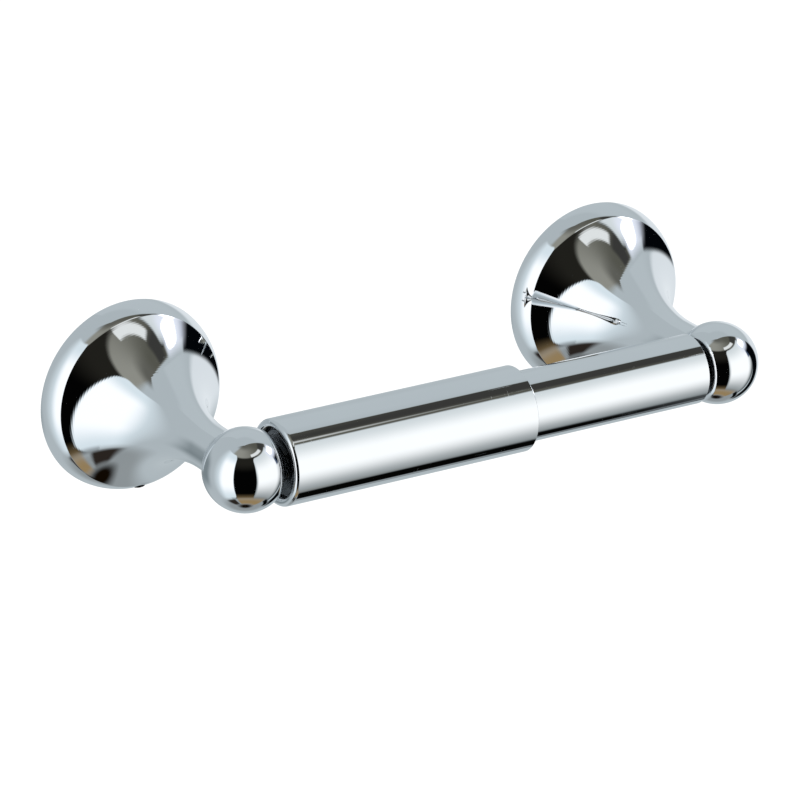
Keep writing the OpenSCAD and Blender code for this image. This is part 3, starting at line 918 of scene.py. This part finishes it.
def buildSetScrews():
    # Grub screw with its hexagonal socket facing down
    low, high = boxOf("left_set_screw")
    crest, corner = (high.x - low.x) / 2, setScrew["hexAcross"] / math.sqrt(3)
    pattern = shankPiece(setScrew, high.z - low.z, crest, blackOxide)
    corners = [(corner * math.cos(math.pi * i / 3), corner * math.sin(math.pi * i / 3)) for i in range(6)]
    carve(pattern, prism("socket", corners, "Z", -setScrew["hexDepth"], 1))
    for side in sideSigns:
        low, high = boxOf(side + "_set_screw")
        middle = moved((low.x + high.x) / 2, (low.y + high.y) / 2, low.z)
        place = middle @ Matrix.Rotation(math.pi, 4, "X")
        seat(placedCopy(side + "SetScrew", pattern, place), "holder", side + "_set_screw")
    bpy.data.objects.remove(pattern)


washer = {"slot": 0.9, "slotLean": 20, "innerRadius": 2.186, "soft": 0.12}    # the slot leans, in degrees


def buildWasher(side):
    low, high = boxOf(side + "_lock_washer")
    outer, inner, thickness = (high.z - low.z) / 2, washer["innerRadius"], high.y - low.y
    points = [(inner, 0), (outer, 0), (outer, thickness), (inner, thickness), (inner, 0)]
    ring = outlineOf(lineRuns(*points), [washer["soft"]] * 4, closed=True)
    x, half = middleX(side + "_post"), washer["slot"] / 2
    piece = turned(side + "LockWasher", ring, offWall(x, high.y), brightZinc, sides=96)
    cutter = box("slot", (0, -half, -thickness * 2), (outer * 2, half, thickness * 2))
    lean = Matrix.Rotation(math.radians(washer["slotLean"]), 4, "X")
    cutter.data.transform(offWall(x, high.y - thickness / 2) @ lean)
    carve(piece, cutter)
    seat(piece, "holder", side + "_lock_washer")


buildWallScrews()
buildBallScrews()
buildSetScrews()
for side in sideSigns:
    buildWasher(side)
print("screws and washers made")

# Wall brackets

bracket = {"thickness": 2.5, "lugHalfWidth": 5.0, "lugThickness": 2.8, "lugTop": 18.086, "hookHeight": 1.4,
           "hookThickness": 1.6, "holeRadius": 2.25, "holeSink": 0.5, "cornerAcross": 1.2, "cornerAlong": 0.6,
           "bevel": 0.28, "bevelSteps": 3, "bevelFrom": 40}


def plateCorners(radius, halfWidth, steps=16):
    # The plate's ends are arcs round the post's axis, and a short slant joins each to the straight sides
    reach = math.degrees(math.asin((halfWidth - bracket["cornerAcross"]) / radius))
    straight = math.sqrt(radius ** 2 - halfWidth ** 2) - bracket["cornerAlong"]
    corners = []
    for turn, sign in ((90, 1), (270, -1)):
        corners += arcRun(0, 0, radius, turn + reach, turn - reach, steps)
        corners += [(sign * halfWidth, sign * straight), (sign * halfWidth, -sign * straight)]
    return corners


def buildBracket(side):
    low, high = boxOf(side + "_wall_bracket")
    x, halfWidth, radius, depth = (low.x + high.x) / 2, (high.x - low.x) / 2, -low.z, -low.y
    near, top, lug = bracket["thickness"], bracket["lugTop"], bracket["lugThickness"]
    corners = [(x + a, b) for a, b in plateCorners(radius, halfWidth)]
    plate = prism(side + "WallBracket", corners, "Y", -near, 0)
    hook, rise, lugWidth = bracket["hookThickness"], bracket["hookHeight"], bracket["lugHalfWidth"]
    upper = [(-near / 2, top), (-depth + hook, top), (-depth + hook, top + rise), (-depth, top + rise),
             (-depth, top - lug), (-near / 2, top - lug)]
    lower = [(-near / 2, -top), (-depth, -top), (-depth, -top + lug), (-near / 2, -top + lug)]
    for corners in (upper, lower):
        carve(plate, prism("lug", corners, "X", x - lugWidth, x + lugWidth), "UNION")
    hole, sink = bracket["holeRadius"], bracket["holeSink"]
    wide, past = hole + sink, near + 1
    points = [(0, -1), (hole, -1), (hole, near - sink), (wide, near), (wide, past), (0, past)]
    for end in ("upper", "lower"):
        screwLow, screwHigh = boxOf(f"{side}_{end}_wall_screw")
        place = offWall(x, 0, (screwLow.z + screwHigh.z) / 2)
        carve(plate, turned("drill", points, place, rolledPlate, sides=72))
    modifier = plate.modifiers.new("Edges", "BEVEL")
    modifier.width = bracket["bevel"] * mm
    modifier.segments = bracket["bevelSteps"]
    modifier.limit_method = "ANGLE"
    modifier.angle_limit = math.radians(bracket["bevelFrom"])
    mesh = applyModifier(plate, modifier)
    faceOutwards(mesh)
    paintWhole(mesh, rolledPlate)
    seat(plate, "holder", side + "_wall_bracket")


for side in sideSigns:
    buildBracket(side)
print("brackets made")

# Camera, floor and studio

view = {"azimuth": 31.2835, "elevation": 21.6902, "roll": 0.035, "distance": 1586.32, "across": -6.976,
        "up": -6.201, "lens": 253.73, "sensor": 36.0, "halfProjection": 32.7}


def buildCamera():
    azimuth, elevation, roll = (math.radians(view[k]) for k in ("azimuth", "elevation", "roll"))
    back = Vector((-math.sin(azimuth) * math.cos(elevation), -math.cos(azimuth) * math.cos(elevation),
                   math.sin(elevation)))
    across = Vector((0, 0, 1)).cross(back).normalized()
    upward = back.cross(across)
    right = across * math.cos(roll) + upward * math.sin(roll)
    top = upward * math.cos(roll) - across * math.sin(roll)
    target = Vector((0, -view["halfProjection"], 0)) + right * view["across"] + top * view["up"]
    place = (target + back * view["distance"]) * mm
    data = bpy.data.cameras.new("studioCamera")
    data.lens, data.sensor_width, data.clip_end = view["lens"], view["sensor"], 100.0
    camera = bpy.data.objects.new("studioCamera", data)
    bpy.context.scene.collection.objects.link(camera)
    camera.matrix_world = Matrix.Translation(place) @ Matrix((right, top, back)).transposed().to_4x4()
    bpy.context.scene.camera = camera


# Metres, and low enough that a camera under the holder still sees it
floor = {"height": -1.8, "halfSize": 14.0, "light": (0.93, 0.93, 0.93, 1), "deep": (0.90, 0.90, 0.90, 1),
         "cloudScale": 3.0, "roughness": 0.8}


def buildFloor():
    half, height = floor["halfSize"], floor["height"]
    mesh = bpy.data.meshes.new("studioFloor")
    corners = [(x * half, y * half, height) for x, y in ((-1, -1), (1, -1), (1, 1), (-1, 1))]
    mesh.from_pydata(corners, [], [(0, 1, 2, 3)])
    piece = newPiece("studioFloor", mesh)
    material, tree, shader, place = finishTree("paleFloor")
    cloud = noise(tree, place, floor["cloudScale"])
    feedNode(tree, shader, Base_Color=blendColours(tree, cloud, floor["deep"], floor["light"]),
             Roughness=floor["roughness"], Specular_IOR_Level=0.0)
    mesh.materials.append(material)
    piece.visible_glossy = False               # the studio below is seen in the chrome instead


def linear(shade, thrownBack=0.83):
    # The light that shows as a display shade from 0 to 255 in chrome, which throws back only a share of it
    parts = [c / 255 for c in shade]
    parts = [part / 12.92 if part <= 0.04 else ((part + 0.055) / 1.055) ** 2.4 for part in parts]
    return tuple(part / thrownBack for part in parts) + (1,)


# Soft panels round the object that only reflections see, later ones in front. For each: its sides as
# azimuth from -Y toward +X and its ends as elevation, how softly its left, right, bottom and top edges
# fade, its shade, and for some how round its corners are. All but the shade are in degrees.
studio = {"surround": (171, 180, 184), "floorGlow": 1.2, "slant": 0.3, "slanted": ("blackFlag",),
          "plainCorner": 3.5, "cornerEdge": 3.0}
panels = {
    "behindLight": ((96, 230, 8, 66), (2, 20, 24, 10), (178, 187, 191)),
    "behindShade": ((-215, -126, -40, 16), (30, 26, 20, 20), (120, 130, 134)),
    "behindShadeRight": ((150, 200, -44, 4), (20, 1, 20, 16), (132, 142, 146)),
    "shadeBelow": ((-200, 200, -100, -52), (1, 1, 1, 18), (140, 146, 148)),
    "tableBehind": ((-200, 200, -100, -76), (1, 1, 1, 10), (16, 9, 3)),
    "ceiling": ((-94, 95, 42, 100), (18, 6, 8, 1), (140, 140, 132)),
    "ceilingShade": ((-60, 95, 42, 100), (130, 6, 6, 1), (84, 84, 76)),
    "ceilingTop": ((-120, 95, 70, 100), (20, 6, 16, 1), (92, 92, 86)),
    "ceilingStreak": ((50, 94, 44, 66), (14, 5, 8, 6), (56, 56, 54)),
    "darkRoom": ((-84, 84, -64, 52), (3, 3, 10, 7), (3, 3, 3)),
    "darkRoomTop": ((-90, 30, 12, 56), (3, 14, 28, 6), (32, 31, 27)),
    "ceilingGlow": ((-3, 58, 51.5, 62), (1.5, 8, 1.5, 1.5), (222, 225, 224)),
    "table": ((-66, 66, -84, -42), (8, 14, 10, 30), (146, 124, 88)),
    "tableShade": ((-125, -68, -82, -58), (22, 8, 8, 6), (42, 36, 32)),
    "leftPanel": ((-126, -58, -62, 59), (34, 2.5, 10, 4), (214, 226, 232), 16),
    "leftPanelCore": ((-106, -58.5, -54, 50), (18, 3, 34, 22), (257, 259, 261)),
    "rightPanel": ((-1, 86, -64, 51), (2.5, 18, 12, 4), (135, 142, 144), 12),
    "rightPanelTop": ((-1, 86, -20, 51), (2.5, 18, 40, 4), (208, 215, 217), 12),
    "rightPanelCore": ((0, 80, -62, 50), (8, 20, 52, 41), (255, 257, 257)),
    "floorShade": ((58, 112, -66, -55), (10, 8, 3, 4), (5, 5, 4)),
    "whiteBehind": ((98, 152, -32, 16), (6, 14, 10, 10), (214, 220, 224)),
    "blueGlint": ((66, 90, 4, 30), (3, 4, 5, 3), (74, 88, 112)),
    "blackFlag": ((75, 106, -62, 24), (4, 5, 10, 4), (3, 5, 8)),
    "spotGlow": ((52, 98, 16, 48), (14, 12, 12, 8), (226, 231, 242)),
    "spotlight": ((65, 91, 27, 44), (5, 5, 5, 5), (420, 420, 425), 8),
}


def buildPanelGroup():
    group = bpy.data.node_groups.new("studioPanel", "ShaderNodeTree")
    names = ["Azimuth", "Elevation", "Left", "Right", "Bottom", "Top",
             "Fade Left", "Fade Right", "Fade Bottom", "Fade Top", "Corner"]
    for name in names:
        group.interface.new_socket(name, in_out="INPUT", socket_type="NodeSocketFloat")
    group.interface.new_socket("Cover", in_out="OUTPUT", socket_type="NodeSocketFloat")
    given = group.nodes.new("NodeGroupInput").outputs
    azimuth, elevation = given["Azimuth"], given["Elevation"]
    cover = None
    for value, edge, inward in ((azimuth, "Left", 1), (azimuth, "Right", -1), (elevation, "Bottom", 1),
                                (elevation, "Top", -1)):
        fullAt = calc(group, "MULTIPLY_ADD", given["Fade " + edge], inward, given[edge])
        one = ramp(group, value, given[edge], fullAt)
        cover = one if cover is None else calc(group, "MULTIPLY", cover, one)
    past = []
    for value, first, last in ((azimuth, "Left", "Right"), (elevation, "Bottom", "Top")):
        middle = calc(group, "MULTIPLY", calc(group, "ADD", given[first], given[last]), 0.5)
        half = calc(group, "MULTIPLY", calc(group, "SUBTRACT", given[last], given[first]), 0.5)
        away = calc(group, "ABSOLUTE", calc(group, "SUBTRACT", value, middle))
        straight = calc(group, "SUBTRACT", half, given["Corner"])
        past.append(calc(group, "MAXIMUM", calc(group, "SUBTRACT", away, straight), 0.0))
    reach = calc(group, "MULTIPLY_ADD", past[0], past[0], calc(group, "MULTIPLY", past[1], past[1]))
    reach = calc(group, "SQRT", reach)
    inside = calc(group, "SUBTRACT", given["Corner"], studio["cornerEdge"])
    rounded = ramp(group, reach, given["Corner"], inside)
    group.links.new(calc(group, "MULTIPLY", cover, rounded), group.nodes.new("NodeGroupOutput").inputs[0])
    return group


def buildStudio():
    world = bpy.data.worlds.new("studio")
    bpy.context.scene.world = world
    world.use_nodes = True
    tree = world.node_tree
    tree.nodes.clear()
    direction = addNode(tree, "ShaderNodeTexCoord").outputs["Generated"]
    parts = addNode(tree, "ShaderNodeSeparateXYZ", Vector=direction).outputs
    azimuth = calc(tree, "DEGREES", calc(tree, "ARCTAN2", parts[0], calc(tree, "MULTIPLY", parts[1], -1)))
    elevation = calc(tree, "DEGREES", calc(tree, "ARCSINE", parts[2]))
    slanted = calc(tree, "MULTIPLY_ADD", elevation, studio["slant"], azimuth)
    group = buildPanelGroup()
    colour = linear(studio["surround"])
    for name, (span, fade, shade, *corner) in panels.items():
        node = addNode(tree, "ShaderNodeGroup", {"node_tree": group, "label": name}, Elevation=elevation,
                       Azimuth=slanted if name in studio["slanted"] else azimuth)
        for edge, value, softness in zip(("Left", "Right", "Bottom", "Top"), span, fade):
            node.inputs[edge].default_value = value
            node.inputs["Fade " + edge].default_value = softness
        node.inputs["Corner"].default_value = corner[0] if corner else studio["plainCorner"]
        colour = blendColours(tree, node.outputs[0], colour, linear(shade))
    rays = tree.nodes.new("ShaderNodeLightPath").outputs
    even = addNode(tree, "ShaderNodeBackground", Color=(1, 1, 1, 1), Strength=studio["floorGlow"])
    mirrored = addNode(tree, "ShaderNodeBackground", Color=colour)
    mix = addNode(tree, "ShaderNodeMixShader")
    for socket, value in zip(mix.inputs, (rays["Is Glossy Ray"], even.outputs[0], mirrored.outputs[0])):
        tree.links.new(value, socket)
    output = tree.nodes.new("ShaderNodeOutputWorld")
    tree.links.new(mix.outputs[0], output.inputs[0])
    world.cycles.sampling_method = "NONE"      # the even light needs no sampling map


buildCamera()
buildFloor()
buildStudio()
bpy.context.scene.view_settings.view_transform = "Standard"
print("studio made")
